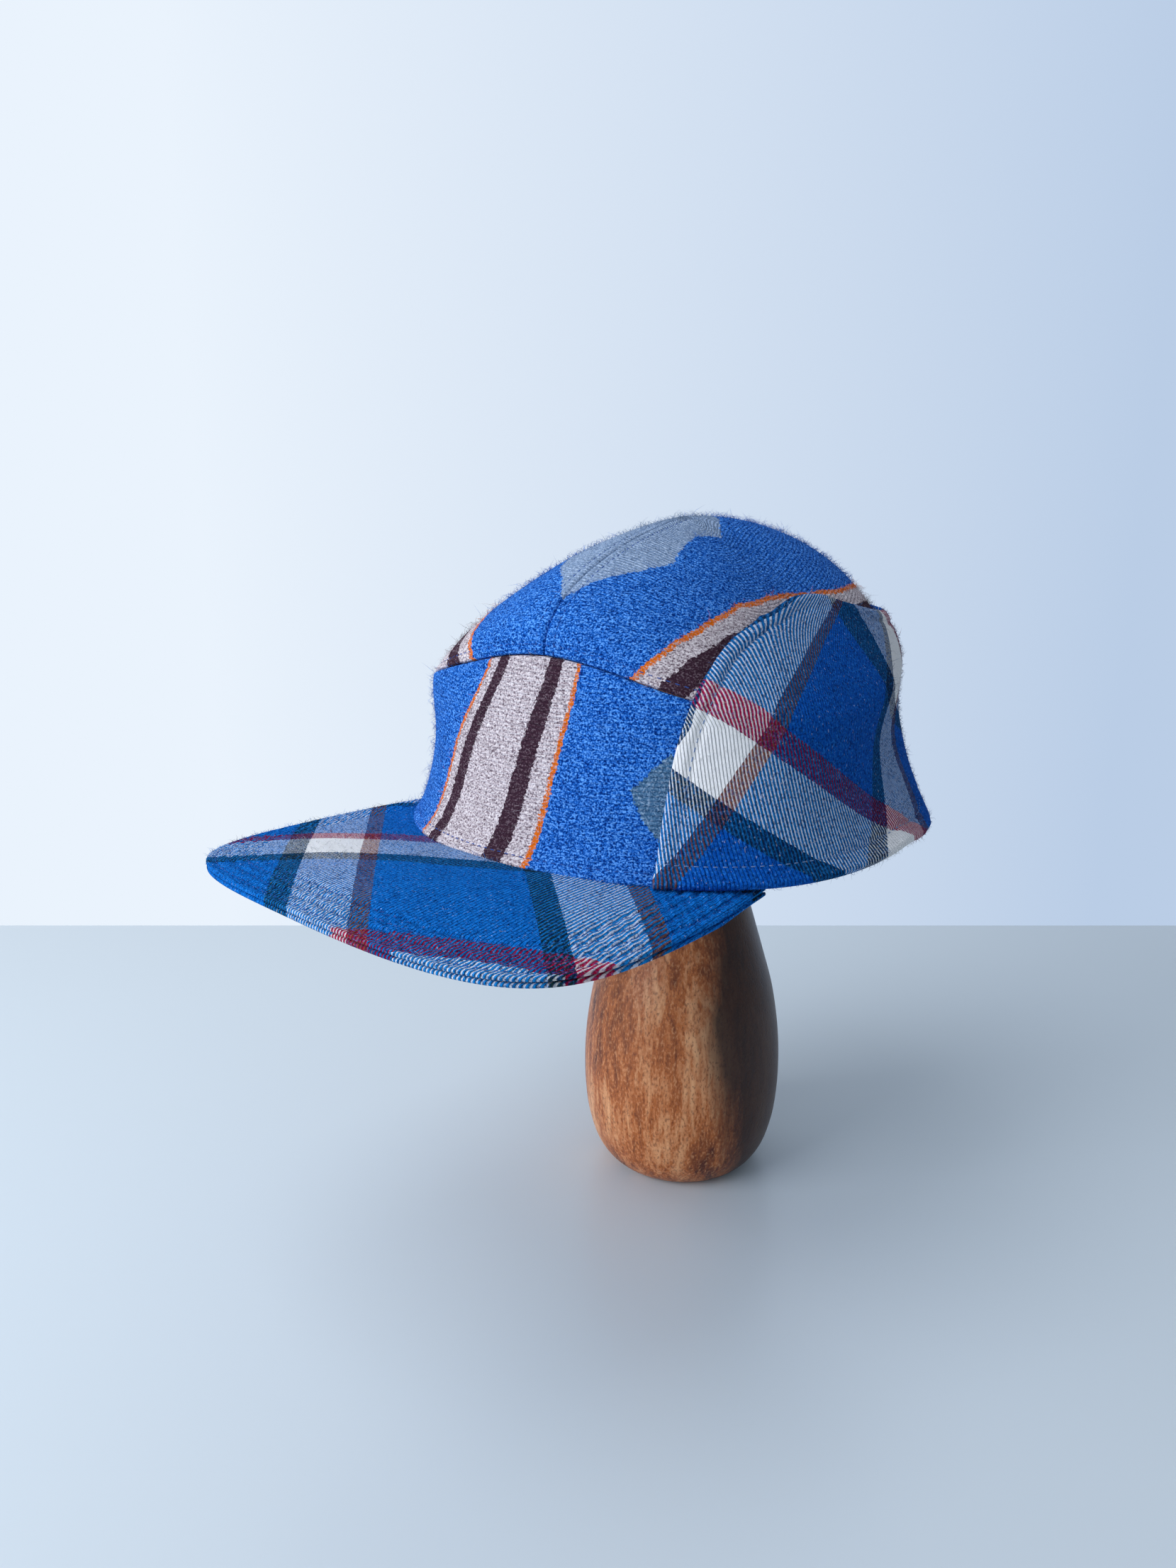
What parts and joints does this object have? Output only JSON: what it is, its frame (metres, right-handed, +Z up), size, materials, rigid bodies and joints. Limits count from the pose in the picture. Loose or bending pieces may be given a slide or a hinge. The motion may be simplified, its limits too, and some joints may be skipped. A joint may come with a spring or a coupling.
{
  "type": "kepi cap with wooden hat stand",
  "caption": "Soft wool and flannel cap with a flat peak and a folded-up ear flap, resting on a turned wooden hat stand.",
  "frame": {"origin": "centre of the stand's foot, on the surface that it stands on", "axes": "+Z up, -Y the way the peak points, +X the wearer's left"},
  "size_m": [0.1964, 0.2728, 0.2621],
  "materials": {
    "wool_blanket": "matte",
    "plaid_flannel": "matte",
    "dark_wood": "satin"
  },
  "bodies": {
    "root": {"side_band": "wool_blanket", "crown_left": "wool_blanket", "crown_right": "wool_blanket", "ear_flap": "plaid_flannel", "peak_upper": "plaid_flannel", "peak_under": "plaid_flannel", "stand": "dark_wood"}
  },
  "joints": []
}
